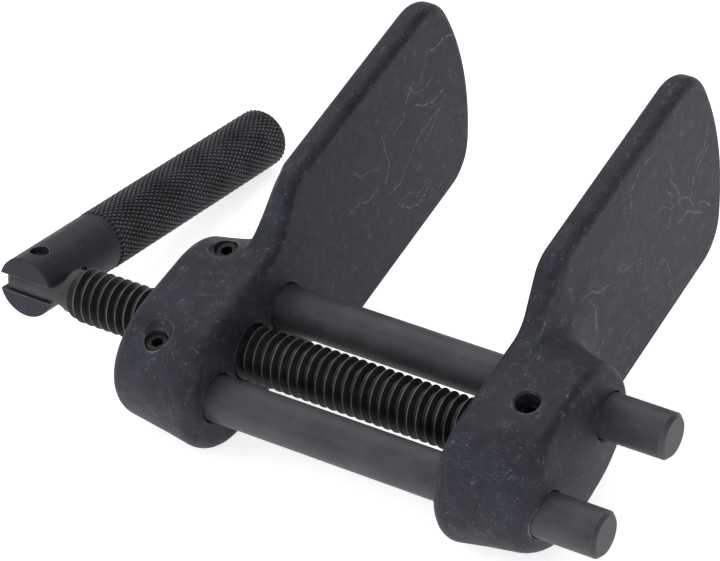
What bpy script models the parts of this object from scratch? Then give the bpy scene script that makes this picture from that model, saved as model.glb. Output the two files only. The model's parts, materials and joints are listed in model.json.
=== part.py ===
"""Disc brake pad spreader: two bladed jaws on two guide rods, driven by one lead screw.

The tool is modelled in its own frame and then laid down as it rests on a bench.
Tool frame: +X runs along the guide rods, from the handle to their free ends; +Y runs along
the blades; +Z is square to the plane of the rods. Its origin is on the screw's axis, in
the inner face of the fixed jaw. On the bench the tool leans back on the noses of its two
blocks and the roots of its blades, with the end of the handle touching down beside them.
"""

import math

import bmesh
import bpy
import numpy as np
from mathutils import Matrix, Vector

MM = 0.001

# Guide rods and the fits around them
ROD_RADIUS = 6.0 * MM
ROD_SPACING = 32.4 * MM
ROD_START = -25.0 * MM
FRONT_ROD_END = 110.5 * MM
REAR_ROD_END = 111.3 * MM
ROD_CHAMFER = 1.0 * MM
FIT_GAP = 0.3 * MM
FACE_GAP = 0.01 * MM

# Jaws: a block with rounded ends, and a blade flush with the block's inner face.
# Depth is counted from the inner face outward.
OPENING = 69.3 * MM
BLOCK_HALF_HEIGHT = 18.4 * MM
BLOCK_THICKNESS = 23.4 * MM
BLOCK_CROWN = 1.8 * MM
BLOCK_SLOPE = 0.04
FRONT_NOSE_CENTRE = -11.0 * MM
REAR_NOSE_CENTRE = 12.2 * MM
REAR_TAPER = 0.2
BLADE_THICKNESS = 7.0 * MM
BLADE_HALF_WIDTH = 30.8 * MM
BLADE_TIP = 108.3 * MM
TIP_RADIUS = 69.0 * MM
TIP_RISE = 3.6 * MM
CORNER_RADIUS = 13.0 * MM
NECK_START = 19.6 * MM
NECK_FILLET = 8.6 * MM
NECK_SHOULDER = 11.0 * MM
BLADE_ROUNDING = 2.7 * MM
INNER_ROUNDING = 2.9 * MM
INNER_NOSE_ROUNDING = 4.5 * MM
OUTER_ROUNDING = 2.2 * MM
ROOT_FILLET = 4.0 * MM

# The two forgings are ground a little differently at the front of the outer face
FIXED_NOSE_TAPER = 0.175
FIXED_NOSE_ROUNDING = 2.6 * MM
SLIDING_NOSE_TAPER = 0.225
SLIDING_NOSE_ROUNDING = 7.0 * MM

# Lead screw, drawn at the thread's major diameter
SCREW_RADIUS = 7.2 * MM
SCREW_END = -53.6 * MM
SCREW_END_CHAMFER = 1.3 * MM
SHANK_RADIUS = 5.8 * MM
TONGUE_THICKNESS = 4.0 * MM
TONGUE_RUNOUT = 1.5 * MM
TONGUE_END_REACH = 7.2 * MM
TONGUE_CORNER = 2.4 * MM
SHANK_LENGTH = 0.6 * MM
PIVOT_X = -66.7 * MM
THREAD_INSIDE_JAW = 3.4 * MM
JOURNAL_RADIUS = 5.5 * MM
JOURNAL_END = 20.6 * MM
JOURNAL_CHAMFER = 0.8 * MM
GROOVE_RADIUS = 4.2 * MM
GROOVE_WIDTH = 4.4 * MM
RETAINER_PLACE = 13.8 * MM

# Grub screws, M6 with hexagon sockets
GRUB_RADIUS = 3.0 * MM
GRUB_SOCKET_FLATS = 3.0 * MM
GRUB_SOCKET_DEPTH = 3.0 * MM
GRUB_LENGTH = 8.4 * MM
GRUB_CHAMFER = 0.5 * MM
GRUB_RECESS = 1.7 * MM
GRUB_PLACE = 14.3 * MM
DOG_RADIUS = 1.9 * MM
HOLE_CHAMFER = 0.7 * MM

# Folding handle: knurled bar with a slotted end
HANDLE_RADIUS = 8.25 * MM
KNURL_RADIUS = 8.4 * MM
KNURL_START = 24.0 * MM
KNURL_STEP = 0.5 * MM
HANDLE_NEAR_END = -6.3 * MM
HANDLE_FAR_END = 102.6 * MM
HANDLE_CHAMFER = 0.8 * MM
SLOT_DEPTH = 9.6 * MM
PIN_RADIUS = 2.5 * MM
PIN_LENGTH = 13.2 * MM
PIN_CHAMFER = 0.3 * MM

# How the tool lies on the bench, and how far the screw and the handle are turned
REST_TILT = math.radians(15.0)
SCREW_TURN = math.radians(-22.2)
HANDLE_FOLD = math.radians(90.0)

# Fineness of round shapes
ROUND_STEPS = 40
SMALL_ROUND_STEPS = 24
CORNER_STEPS = 5
MERGE_DISTANCE = 0.001 * MM
SMOOTH_ANGLE = math.radians(32.0)
CUTTER_SPARE = 6.0 * MM

# Points along each stretch of a jaw's outline, and the loops that its edges are rounded with
NOSE_POINTS = 12
NECK_POINTS = 5
CORNER_POINTS = 7
END_POINTS = 4
FLAT_END_MARGIN = 6.0 * MM
BLADE_BLEND_START = 4.0 * MM
BLADE_BLEND_END = 10.0 * MM
LEVEL_ANGLES = np.radians([0.0, 30.0, 60.0, 90.0])
CAP_INSETS = (3.0 * MM, 6.5 * MM, 9.5 * MM)


def clear_scene():
    for obj in list(bpy.data.objects):
        bpy.data.objects.remove(obj, do_unlink=True)
    for collection in list(bpy.data.collections):
        bpy.data.collections.remove(collection)


def new_collection(name):
    collection = bpy.data.collections.new(name)
    bpy.context.scene.collection.children.link(collection)
    return collection


def steel(name, colour, roughness, metallic):
    material = bpy.data.materials.new(name)
    material.use_nodes = True
    shader = material.node_tree.nodes["Principled BSDF"]
    shader.inputs["Base Color"].default_value = (*colour, 1.0)
    shader.inputs["Roughness"].default_value = roughness
    shader.inputs["Metallic"].default_value = metallic
    return material


def new_object(name, mesh, collection, parent, material=None):
    obj = bpy.data.objects.new(name, mesh)
    collection.objects.link(obj)
    obj.parent = parent
    if material is not None:
        mesh.materials.append(material)
    return obj


def new_empty(name, collection, parent=None, location=(0.0, 0.0, 0.0), rotation=(0.0, 0.0, 0.0)):
    empty = bpy.data.objects.new(name, None)
    empty.empty_display_size = 10 * MM
    empty.location = location
    empty.rotation_euler = rotation
    collection.objects.link(empty)
    empty.parent = parent
    return empty


def shade_smooth(obj):
    obj.data.shade_smooth()
    obj.data.set_sharp_from_angle(angle=SMOOTH_ANGLE)


def cylinder_mesh(name, radius, start, end, axis="X", steps=ROUND_STEPS, centre=(0.0, 0.0)):
    """A capped cylinder along X or Z, from start to end, centred on the other two axes."""
    bm = bmesh.new()
    length = end - start
    bmesh.ops.create_cone(bm, cap_ends=True, segments=steps, radius1=radius, radius2=radius, depth=length)
    middle = (start + end) / 2
    if axis == "X":
        bmesh.ops.rotate(bm, verts=bm.verts, matrix=Matrix.Rotation(math.pi / 2, 3, "Y"))
        place = Vector((middle, centre[0], centre[1]))
    else:
        place = Vector((centre[0], centre[1], middle))
    bmesh.ops.translate(bm, verts=bm.verts, vec=place)
    mesh = bpy.data.meshes.new(name)
    bm.to_mesh(mesh)
    bm.free()
    return mesh


def box_mesh(name, low, high):
    bm = bmesh.new()
    bmesh.ops.create_cube(bm, size=1.0)
    low, high = Vector(low), Vector(high)
    bmesh.ops.scale(bm, verts=bm.verts, vec=high - low)
    bmesh.ops.translate(bm, verts=bm.verts, vec=(low + high) / 2)
    mesh = bpy.data.meshes.new(name)
    bm.to_mesh(mesh)
    bm.free()
    return mesh


def turned_mesh(name, profile, axis="X", steps=ROUND_STEPS):
    """Spin a profile of (place along the axis, radius) pairs, from one end to the other."""
    bm = bmesh.new()
    verts = [bm.verts.new((radius, 0.0, place)) for place, radius in profile]
    edges = [bm.edges.new(pair) for pair in zip(verts, verts[1:])]
    geometry = verts + edges
    turn = 2 * math.pi
    bmesh.ops.spin(bm, geom=geometry, cent=(0, 0, 0), axis=(0, 0, 1), angle=turn, steps=steps)
    bmesh.ops.remove_doubles(bm, verts=bm.verts, dist=MERGE_DISTANCE)
    bmesh.ops.recalc_face_normals(bm, faces=bm.faces)
    if axis == "X":
        bmesh.ops.rotate(bm, verts=bm.verts, matrix=Matrix.Rotation(math.pi / 2, 3, "Y"))
    mesh = bpy.data.meshes.new(name)
    bm.to_mesh(mesh)
    bm.free()
    return mesh


def add_cutter(target, mesh, cutters, location=(0.0, 0.0, 0.0)):
    """Cut one shape out of a part with a Boolean modifier."""
    cutter = new_object(mesh.name, mesh, cutters, target.parent)
    cutter.location = location
    cutter.hide_render = True
    cutter.display_type = "WIRE"
    cut = target.modifiers.new(mesh.name, "BOOLEAN")
    cut.operation = "DIFFERENCE"
    cut.object = cutter
    return cutter


def arc(centre, radius, start, end, count):
    """Points on an arc in the YZ plane, its angles in degrees from +Y toward +Z."""
    angles = np.radians(np.linspace(start, end, count))
    return np.column_stack((centre[0] + radius * np.cos(angles), centre[1] + radius * np.sin(angles)))


def nose_and_flat():
    """The block's top edge, from the tip of the front nose to where the rear nose starts."""
    nose = arc((FRONT_NOSE_CENTRE, 0.0), BLOCK_HALF_HEIGHT, 180.0, 90.0, NOSE_POINTS)
    return np.vstack((nose, [REAR_NOSE_CENTRE - FLAT_END_MARGIN, BLOCK_HALF_HEIGHT]))


def blade_side(rise):
    """Half of the outline that holds the blade; rise is where the tip's arc is centred."""
    eighth_turn = math.tan(math.radians(22.5))
    fillet_y = NECK_START - NECK_FILLET * eighth_turn
    climb = BLADE_HALF_WIDTH - BLOCK_HALF_HEIGHT
    shoulder_y = NECK_START + climb + NECK_SHOULDER * eighth_turn
    tip_centre = BLADE_TIP - TIP_RADIUS
    corner_z = BLADE_HALF_WIDTH - CORNER_RADIUS
    corner_y = tip_centre + math.sqrt((TIP_RADIUS - CORNER_RADIUS) ** 2 - (corner_z - rise) ** 2)
    tip_angle = math.degrees(math.atan2(corner_z - rise, corner_y - tip_centre))
    middle_angle = math.degrees(math.asin(-rise / TIP_RADIUS))
    return np.vstack((
        nose_and_flat(),
        arc((fillet_y, BLOCK_HALF_HEIGHT + NECK_FILLET), NECK_FILLET, -90.0, -45.0, NECK_POINTS),
        arc((shoulder_y, BLADE_HALF_WIDTH - NECK_SHOULDER), NECK_SHOULDER, 135.0, 90.0, NECK_POINTS),
        [(shoulder_y + corner_y) / 2, BLADE_HALF_WIDTH],
        arc((corner_y, corner_z), CORNER_RADIUS, 90.0, tip_angle, CORNER_POINTS),
        arc((tip_centre, rise), TIP_RADIUS, tip_angle, middle_angle, END_POINTS)[1:],
    ))


def block_side():
    """Half of the block's own outline, with as many points as blade_side."""
    count = 2 * NECK_POINTS + CORNER_POINTS + END_POINTS
    rear = arc((REAR_NOSE_CENTRE, 0.0), BLOCK_HALF_HEIGHT, 90.0, 0.0, count)
    return np.vstack((nose_and_flat(), rear))


def closed(upper, lower):
    """Join an upper half and a mirrored lower half; both start and end on z = 0."""
    return np.vstack((upper, lower[-2:0:-1] * (1.0, -1.0)))


def inward(loop):
    """Unit vectors that point into a closed outline."""
    along = np.roll(loop, -1, axis=0) - np.roll(loop, 1, axis=0)
    along /= np.linalg.norm(along, axis=1, keepdims=True)
    return np.column_stack((along[:, 1], -along[:, 0]))


def blend(values, low, high):
    """0 below low, 1 above high, and a smooth step between."""
    part = np.clip((values - low) / (high - low), 0.0, 1.0)
    return part * part * (3 - 2 * part)


def placed(loop, depth, inset, taper):
    """Points (depth, y, z) of an outline moved inward by inset, then along y by the taper."""
    moved = loop + inward(loop) * np.reshape(inset, (-1, 1))
    depth = depth + np.zeros(len(loop))
    return np.column_stack((depth, moved[:, 0] + taper * depth, moved[:, 1]))


def jaw_levels(nose_taper, nose_rounding):
    """The jaw as loops of (depth, y, z) points, from its inner face to its outer face."""
    blade = closed(blade_side(TIP_RISE), blade_side(-TIP_RISE))
    block = closed(block_side(), block_side())
    front = np.clip((FRONT_NOSE_CENTRE - block[:, 0]) / BLOCK_HALF_HEIGHT, 0.0, 1.0)
    rear = np.clip((block[:, 0] - REAR_NOSE_CENTRE) / BLOCK_HALF_HEIGHT, 0.0, 1.0)
    on_blade = blend(blade[:, 0], NECK_START - BLADE_BLEND_START, NECK_START + BLADE_BLEND_END)
    blade_taper = nose_taper * (front > 0)
    block_taper = nose_taper * (front > 0) - REAR_TAPER * (rear > 0)
    inner = INNER_ROUNDING + (INNER_NOSE_ROUNDING - INNER_ROUNDING) * front
    inner += (BLADE_ROUNDING - inner) * on_blade
    outer = OUTER_ROUNDING + (nose_rounding - OUTER_ROUNDING) * front

    levels = []
    for angle in LEVEL_ANGLES:
        depth = inner * (1 - math.cos(angle))
        inset = inner * (1 - math.sin(angle))
        levels.append(placed(blade, depth, inset, blade_taper))
    for angle in LEVEL_ANGLES:
        depth = BLADE_THICKNESS - BLADE_ROUNDING * (1 - math.sin(angle))
        inset = BLADE_ROUNDING * (1 - math.cos(angle)) * on_blade
        levels.append(placed(blade, depth, inset, blade_taper))
    for angle in LEVEL_ANGLES:
        depth = BLADE_THICKNESS + ROOT_FILLET * (1 - math.cos(angle)) + FACE_GAP * (angle == 0.0)
        inset = -ROOT_FILLET * (1 - math.sin(angle)) * rear
        levels.append(placed(block, depth, inset, block_taper))
    for angle in LEVEL_ANGLES:
        depth = BLOCK_THICKNESS - outer * (1 - math.sin(angle))
        inset = outer * (1 - math.cos(angle))
        levels.append(crowned(placed(block, depth, inset, block_taper)))
    for extra in CAP_INSETS:
        levels.append(crowned(placed(block, BLOCK_THICKNESS, outer + extra, block_taper)))
    return levels


def crowned(loop):
    """Bulge a loop of the outer face toward the middle height, and slope it along y."""
    share = np.clip((loop[:, 0] - BLADE_THICKNESS) / (BLOCK_THICKNESS - BLADE_THICKNESS), 0.0, 1.0)
    bulge = BLOCK_CROWN * (1 - (loop[:, 2] / BLOCK_HALF_HEIGHT) ** 2)
    loop[:, 0] += bulge - BLOCK_SLOPE * loop[:, 1] * share
    return loop


def jaw_mesh(name, direction, nose_taper, nose_rounding):
    """Loft the jaw's loops; direction is the way its blocks stand out from the inner face."""
    bm = bmesh.new()
    rings = []
    for loop in jaw_levels(nose_taper, nose_rounding):
        rings.append([bm.verts.new((direction * depth, y, z)) for depth, y, z in loop])
    for ring, following in zip(rings, rings[1:]):
        count = len(ring)
        for index in range(count):
            after = (index + 1) % count
            bm.faces.new((ring[index], ring[after], following[after], following[index]))
    bm.faces.new(rings[0])
    bm.faces.new(rings[-1])
    bmesh.ops.recalc_face_normals(bm, faces=bm.faces)
    mesh = bpy.data.meshes.new(name)
    bm.to_mesh(mesh)
    bm.free()
    return mesh


def block_height(depth, y):
    """Height of the fixed block's upper surface above the rods' plane."""
    front = FRONT_NOSE_CENTRE + FIXED_NOSE_TAPER * depth
    rear = REAR_NOSE_CENTRE - REAR_TAPER * depth
    past_flat = max(front - y, y - rear, 0.0)
    return math.sqrt(BLOCK_HALF_HEIGHT**2 - past_flat**2)


def grub_hole_mesh(name, bottom, top):
    """Cutter for a tapped hole along Z with a chamfered mouth, closed at both ends."""
    radius = GRUB_RADIUS + FIT_GAP
    spread = CUTTER_SPARE + HOLE_CHAMFER
    profile = [
        (bottom, 0.0),
        (bottom, radius),
        (top - HOLE_CHAMFER, radius),
        (top + CUTTER_SPARE, radius + spread),
        (top + CUTTER_SPARE, 0.0),
    ]
    return turned_mesh(name, profile, axis="Z", steps=SMALL_ROUND_STEPS)


def grub_screw(name, collection, cutters, parent, material, location, dog_length):
    """Grub screw along Z, its socket up; location is the middle of its top face."""
    profile = [(0.0, 0.0), (0.0, GRUB_RADIUS - GRUB_CHAMFER), (-GRUB_CHAMFER, GRUB_RADIUS)]
    profile += [(-GRUB_LENGTH + GRUB_CHAMFER, GRUB_RADIUS), (-GRUB_LENGTH, GRUB_RADIUS - GRUB_CHAMFER)]
    bottom = -GRUB_LENGTH
    if dog_length > 0:
        profile += [(bottom, DOG_RADIUS), (bottom - dog_length, DOG_RADIUS), (bottom - dog_length, 0.0)]
    else:
        profile.append((bottom, 0.0))
    mesh = turned_mesh(name, profile, axis="Z", steps=SMALL_ROUND_STEPS)
    screw = new_object(name, mesh, collection, parent, material)
    screw.location = location
    across_corners = GRUB_SOCKET_FLATS / math.cos(math.pi / 6)
    ends = (-GRUB_SOCKET_DEPTH, CUTTER_SPARE)
    socket = cylinder_mesh(name + "_socket", across_corners / 2, *ends, axis="Z", steps=6)
    add_cutter(screw, socket, cutters, location)
    shade_smooth(screw)
    return screw


def jaw(name, mesh, direction, collection, cutters, parent, material):
    """One jaw with its two rod bores; the other holes differ between the two jaws."""
    obj = new_object(name, mesh, collection, parent, material)
    ends = sorted((-direction * CUTTER_SPARE, direction * (BLOCK_THICKNESS + BLOCK_CROWN + CUTTER_SPARE)))
    for side, label in ((-1, "front"), (1, "rear")):
        centre = (side * ROD_SPACING / 2, 0.0)
        bore = cylinder_mesh(f"{name}_{label}_bore", ROD_RADIUS + FIT_GAP, *ends, centre=centre)
        add_cutter(obj, bore, cutters)
    return obj


def build_fixed_jaw(parts, cutters, tool, material):
    mesh = jaw_mesh("fixed_jaw", -1, FIXED_NOSE_TAPER, FIXED_NOSE_ROUNDING)
    fixed = jaw("fixed_jaw", mesh, -1, parts, cutters, tool, material)
    ends = (-BLOCK_THICKNESS - BLOCK_CROWN - CUTTER_SPARE, CUTTER_SPARE)
    add_cutter(fixed, cylinder_mesh("nut_bore", SCREW_RADIUS + FIT_GAP, *ends), cutters)
    for side, label in ((-1, "front"), (1, "rear")):
        surface = block_height(GRUB_PLACE, side * ROD_SPACING / 2)
        place = (-GRUB_PLACE, side * ROD_SPACING / 2, 0.0)
        hole = grub_hole_mesh(f"{label}_grub_hole", 0.0, surface)
        add_cutter(fixed, hole, cutters, place)
    shade_smooth(fixed)
    return fixed


def build_sliding_jaw(parts, cutters, slide, material):
    mesh = jaw_mesh("sliding_jaw", 1, SLIDING_NOSE_TAPER, SLIDING_NOSE_ROUNDING)
    sliding = jaw("sliding_jaw", mesh, 1, parts, cutters, slide, material)
    blind = JOURNAL_END + FIT_GAP
    profile = [(-CUTTER_SPARE, 0.0), (-CUTTER_SPARE, SCREW_RADIUS + FIT_GAP)]
    profile += [(THREAD_INSIDE_JAW + FIT_GAP, SCREW_RADIUS + FIT_GAP)]
    profile += [(THREAD_INSIDE_JAW + FIT_GAP, JOURNAL_RADIUS + FIT_GAP)]
    profile += [(blind, JOURNAL_RADIUS + FIT_GAP), (blind, 0.0)]
    add_cutter(sliding, turned_mesh("journal_bore", profile), cutters)
    hole = grub_hole_mesh("retainer_hole", 0.0, BLOCK_HALF_HEIGHT)
    add_cutter(sliding, hole, cutters, (RETAINER_PLACE, 0.0, 0.0))
    shade_smooth(sliding)
    return sliding


def build_rods(parts, tool, material):
    narrow = ROD_RADIUS - ROD_CHAMFER
    for side, label, end in ((-1, "front", FRONT_ROD_END), (1, "rear", REAR_ROD_END)):
        profile = [(ROD_START, 0.0), (ROD_START, narrow), (ROD_START + ROD_CHAMFER, ROD_RADIUS)]
        profile += [(end - ROD_CHAMFER, ROD_RADIUS), (end, narrow), (end, 0.0)]
        name = f"guide_rod_{label}"
        rod = new_object(name, turned_mesh(name, profile), parts, tool, material)
        rod.location = (0.0, side * ROD_SPACING / 2, 0.0)
        shade_smooth(rod)


def build_grub_screws(parts, cutters, tool, slide, material):
    for side, label in ((-1, "front"), (1, "rear")):
        top = block_height(GRUB_PLACE, side * ROD_SPACING / 2) - GRUB_RECESS
        place = (-GRUB_PLACE, side * ROD_SPACING / 2, top)
        grub_screw(f"rod_set_screw_{label}", parts, cutters, tool, material, place, 0.0)
    top = BLOCK_HALF_HEIGHT - GRUB_RECESS
    dog_length = top - GRUB_LENGTH - GROOVE_RADIUS - FIT_GAP
    grub_screw("screw_retainer", parts, cutters, slide, material, (RETAINER_PLACE, 0.0, top), dog_length)


def build_lead_screw(parts, cutters, screw_axis, material):
    """The screw's origin is on its own axis, in the sliding jaw's inner face."""
    outer = SCREW_END - OPENING
    pivot = PIVOT_X - OPENING
    groove_start = RETAINER_PLACE - GROOVE_WIDTH / 2
    groove_end = RETAINER_PLACE + GROOVE_WIDTH / 2
    tongue_end = pivot - TONGUE_END_REACH
    profile = [(tongue_end, 0.0)]
    for step in range(CORNER_STEPS + 1):
        angle = math.pi / 2 * step / CORNER_STEPS
        along = tongue_end + TONGUE_CORNER * (1 - math.cos(angle))
        profile.append((along, SHANK_RADIUS - TONGUE_CORNER * (1 - math.sin(angle))))
    profile += [(outer - SCREW_END_CHAMFER, SHANK_RADIUS), (outer, SCREW_RADIUS)]
    profile += [(THREAD_INSIDE_JAW, SCREW_RADIUS), (THREAD_INSIDE_JAW, JOURNAL_RADIUS)]
    profile += [(groove_start, JOURNAL_RADIUS), (groove_start, GROOVE_RADIUS)]
    profile += [(groove_end, GROOVE_RADIUS), (groove_end, JOURNAL_RADIUS)]
    profile += [(JOURNAL_END - JOURNAL_CHAMFER, JOURNAL_RADIUS)]
    profile += [(JOURNAL_END, JOURNAL_RADIUS - JOURNAL_CHAMFER), (JOURNAL_END, 0.0)]
    screw = new_object("lead_screw", turned_mesh("lead_screw", profile), parts, screw_axis, material)
    flat_end = outer - SCREW_END_CHAMFER - SHANK_LENGTH
    for side in (1, -1):
        reach = sorted((side * TONGUE_THICKNESS / 2, side * (SHANK_RADIUS + CUTTER_SPARE)))
        low = (tongue_end - CUTTER_SPARE, -SHANK_RADIUS - CUTTER_SPARE, reach[0])
        high = (flat_end, SHANK_RADIUS + CUTTER_SPARE, reach[1])
        label = "upper" if side > 0 else "lower"
        flat = box_mesh(f"tongue_flat_{label}", low, high)
        round_runout(flat, flat_end, side * TONGUE_THICKNESS / 2)
        add_cutter(screw, flat, cutters)
    ends = (-SHANK_RADIUS, SHANK_RADIUS)
    hole = cylinder_mesh("tongue_hole", PIN_RADIUS + FIT_GAP, *ends, "Z", SMALL_ROUND_STEPS, (pivot, 0.0))
    add_cutter(screw, hole, cutters)
    shade_smooth(screw)
    return screw


def round_runout(mesh, x, z):
    """Round the edge of a milling cut where it runs out toward the thread."""
    bm = bmesh.new()
    bm.from_mesh(mesh)
    near = MERGE_DISTANCE
    corner = {vert for vert in bm.verts if abs(vert.co.x - x) < near and abs(vert.co.z - z) < near}
    edges = [edge for edge in bm.edges if corner.issuperset(edge.verts)]
    bmesh.ops.bevel(bm, geom=edges, offset=TONGUE_RUNOUT, segments=4, profile=0.5, affect="EDGES")
    bm.to_mesh(mesh)
    bm.free()


def build_handle(parts, cutters, fold, material, pin_material):
    """The handle lies along its own +X, with its origin on the pivot pin."""
    profile = [(HANDLE_NEAR_END, 0.0), (HANDLE_NEAR_END, HANDLE_RADIUS - HANDLE_CHAMFER / 2)]
    profile += [(HANDLE_NEAR_END + HANDLE_CHAMFER / 2, HANDLE_RADIUS)]
    profile += [(KNURL_START, HANDLE_RADIUS), (KNURL_START + KNURL_STEP, KNURL_RADIUS)]
    profile += [(HANDLE_FAR_END - HANDLE_CHAMFER, KNURL_RADIUS)]
    profile += [(HANDLE_FAR_END, KNURL_RADIUS - HANDLE_CHAMFER), (HANDLE_FAR_END, 0.0)]
    handle = new_object("handle", turned_mesh("handle", profile), parts, fold, material)
    half_slot = TONGUE_THICKNESS / 2 + FIT_GAP
    reach = KNURL_RADIUS + CUTTER_SPARE
    low = (HANDLE_NEAR_END - CUTTER_SPARE, -reach, -half_slot)
    high = (SLOT_DEPTH, reach, half_slot)
    add_cutter(handle, box_mesh("handle_slot", low, high), cutters)
    hole = cylinder_mesh("handle_pin_hole", PIN_RADIUS + FIT_GAP, -reach, reach, "Z", SMALL_ROUND_STEPS)
    add_cutter(handle, hole, cutters)
    shade_smooth(handle)
    half = PIN_LENGTH / 2
    profile = [(-half, 0.0), (-half, PIN_RADIUS - PIN_CHAMFER), (-half + PIN_CHAMFER, PIN_RADIUS)]
    profile += [(half - PIN_CHAMFER, PIN_RADIUS), (half, PIN_RADIUS - PIN_CHAMFER), (half, 0.0)]
    pin_mesh = turned_mesh("handle_pin", profile, "Z", SMALL_ROUND_STEPS)
    pin = new_object("handle_pin", pin_mesh, parts, fold, pin_material)
    shade_smooth(pin)
    return handle


def lay_on_bench(parts, tool):
    """Move the tool so that the middle of its footprint is the origin and it touches z = 0."""
    bpy.context.view_layer.update()
    depsgraph = bpy.context.evaluated_depsgraph_get()
    points = []
    for obj in parts.objects:
        if obj.type == "MESH":
            evaluated = obj.evaluated_get(depsgraph)
            points += [evaluated.matrix_world @ vert.co for vert in evaluated.data.vertices]
    low = [min(point[axis] for point in points) for axis in range(3)]
    high = [max(point[axis] for point in points) for axis in range(3)]
    tool.location = (-(low[0] + high[0]) / 2, -(low[1] + high[1]) / 2, -low[2])


def build():
    clear_scene()
    parts = new_collection("brake_pad_spreader")
    cutters = new_collection("cutters")
    forged = steel("black_oxide_forging", (0.035, 0.036, 0.042), 0.55, 0.6)
    ground = steel("black_oxide_rod", (0.045, 0.043, 0.042), 0.42, 0.7)
    thread = steel("black_oxide_thread", (0.022, 0.022, 0.022), 0.38, 0.7)
    knurled = steel("black_oxide_handle", (0.040, 0.041, 0.047), 0.48, 0.65)
    fastener = steel("black_fastener", (0.018, 0.018, 0.020), 0.40, 0.7)

    tool = new_empty("tool_frame", parts, rotation=(REST_TILT, 0.0, 0.0))
    slide = new_empty("slide_axis", parts, tool, location=(OPENING, 0.0, 0.0))
    screw_axis = new_empty("screw_axis", parts, slide, rotation=(SCREW_TURN, 0.0, 0.0))
    pivot = (PIVOT_X - OPENING, 0.0, 0.0)
    fold = new_empty("handle_axis", parts, screw_axis, location=pivot, rotation=(0.0, 0.0, HANDLE_FOLD))

    build_fixed_jaw(parts, cutters, tool, forged)
    build_rods(parts, tool, ground)
    build_grub_screws(parts, cutters, tool, slide, fastener)
    build_sliding_jaw(parts, cutters, slide, forged)
    build_lead_screw(parts, cutters, screw_axis, thread)
    build_handle(parts, cutters, fold, knurled, fastener)
    lay_on_bench(parts, tool)
    return tool


build()
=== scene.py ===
"""Looks of the disc brake pad spreader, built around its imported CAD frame.

Every piece is modelled in the tool's own frame and then placed by a matrix: +X runs along the
guide rods, +Y along the blades and +Z square to the plane of the rods, with the origin on the
lead screw's axis, in the inner face of the fixed jaw. Lengths are in metres.
"""

import json
import math
import random

import bmesh
import bpy
import numpy as np
from mathutils import Euler, Matrix, Vector


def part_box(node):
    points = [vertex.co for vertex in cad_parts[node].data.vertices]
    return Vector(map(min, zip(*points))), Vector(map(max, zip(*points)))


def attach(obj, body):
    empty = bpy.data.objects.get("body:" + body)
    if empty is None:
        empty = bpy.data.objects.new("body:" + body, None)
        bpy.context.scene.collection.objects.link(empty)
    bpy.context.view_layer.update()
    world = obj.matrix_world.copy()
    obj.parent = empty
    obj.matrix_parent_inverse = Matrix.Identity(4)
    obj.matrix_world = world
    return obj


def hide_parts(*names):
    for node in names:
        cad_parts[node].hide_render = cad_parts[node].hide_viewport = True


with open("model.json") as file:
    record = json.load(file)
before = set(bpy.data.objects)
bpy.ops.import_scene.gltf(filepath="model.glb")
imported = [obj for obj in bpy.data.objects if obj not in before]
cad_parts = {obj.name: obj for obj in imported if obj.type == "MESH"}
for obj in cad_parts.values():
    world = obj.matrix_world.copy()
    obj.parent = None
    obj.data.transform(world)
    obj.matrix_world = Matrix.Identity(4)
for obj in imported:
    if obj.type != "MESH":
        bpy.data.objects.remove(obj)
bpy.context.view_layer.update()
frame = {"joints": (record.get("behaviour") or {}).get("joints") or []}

MM = 0.001
# Just enough to keep two points of a profile or outline apart
HAIRLINE = 0.01 * MM

# Guide rods
ROD_CHAMFER = 1.0 * MM
ROD_END_EDGE = 0.1 * MM
ROD_END_LIP = 0.15 * MM
BORE_GAP = 0.28 * MM
BORE_CHAMFER = 0.45 * MM

# Jaws; depth is counted from the inner face outward
BLOCK_HALF_HEIGHT = 18.4 * MM
BLOCK_THICKNESS = 23.4 * MM
BLOCK_CROWN = 1.8 * MM
BLOCK_SLOPE = 0.04
FRONT_NOSE_CENTRE = -11.0 * MM
REAR_NOSE_CENTRE = 12.2 * MM
REAR_TAPER = 0.2
BLADE_THICKNESS = 7.0 * MM
BLADE_HALF_WIDTH = 30.8 * MM
BLADE_TIP = 108.3 * MM
TIP_RADIUS = 69.0 * MM
TIP_RISE = 3.6 * MM
CORNER_RADIUS = 13.0 * MM
NECK_START = 19.6 * MM
NECK_FILLET = 8.6 * MM
NECK_SHOULDER = 11.0 * MM
BLADE_ROUNDING = 2.7 * MM
INNER_ROUNDING = 2.9 * MM
INNER_NOSE_ROUNDING = 4.5 * MM
OUTER_ROUNDING = 2.2 * MM
ROOT_FILLET = 4.0 * MM
ROOT_LOW_DEPTH = 5.0 * MM
ROOT_HIGH_DEPTH = 14.0 * MM
ROOT_START = 13.0 * MM
ROOT_END = 36.0 * MM
ROOT_SMOOTHING = 24
ROOT_BLEND_BEFORE = 4.0 * MM
ROOT_BLEND_AFTER = 10.0 * MM
FIXED_NOSE_TAPER = 0.175
FIXED_NOSE_ROUNDING = 2.6 * MM
SLIDING_NOSE_TAPER = 0.225
SLIDING_NOSE_ROUNDING = 7.0 * MM

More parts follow.
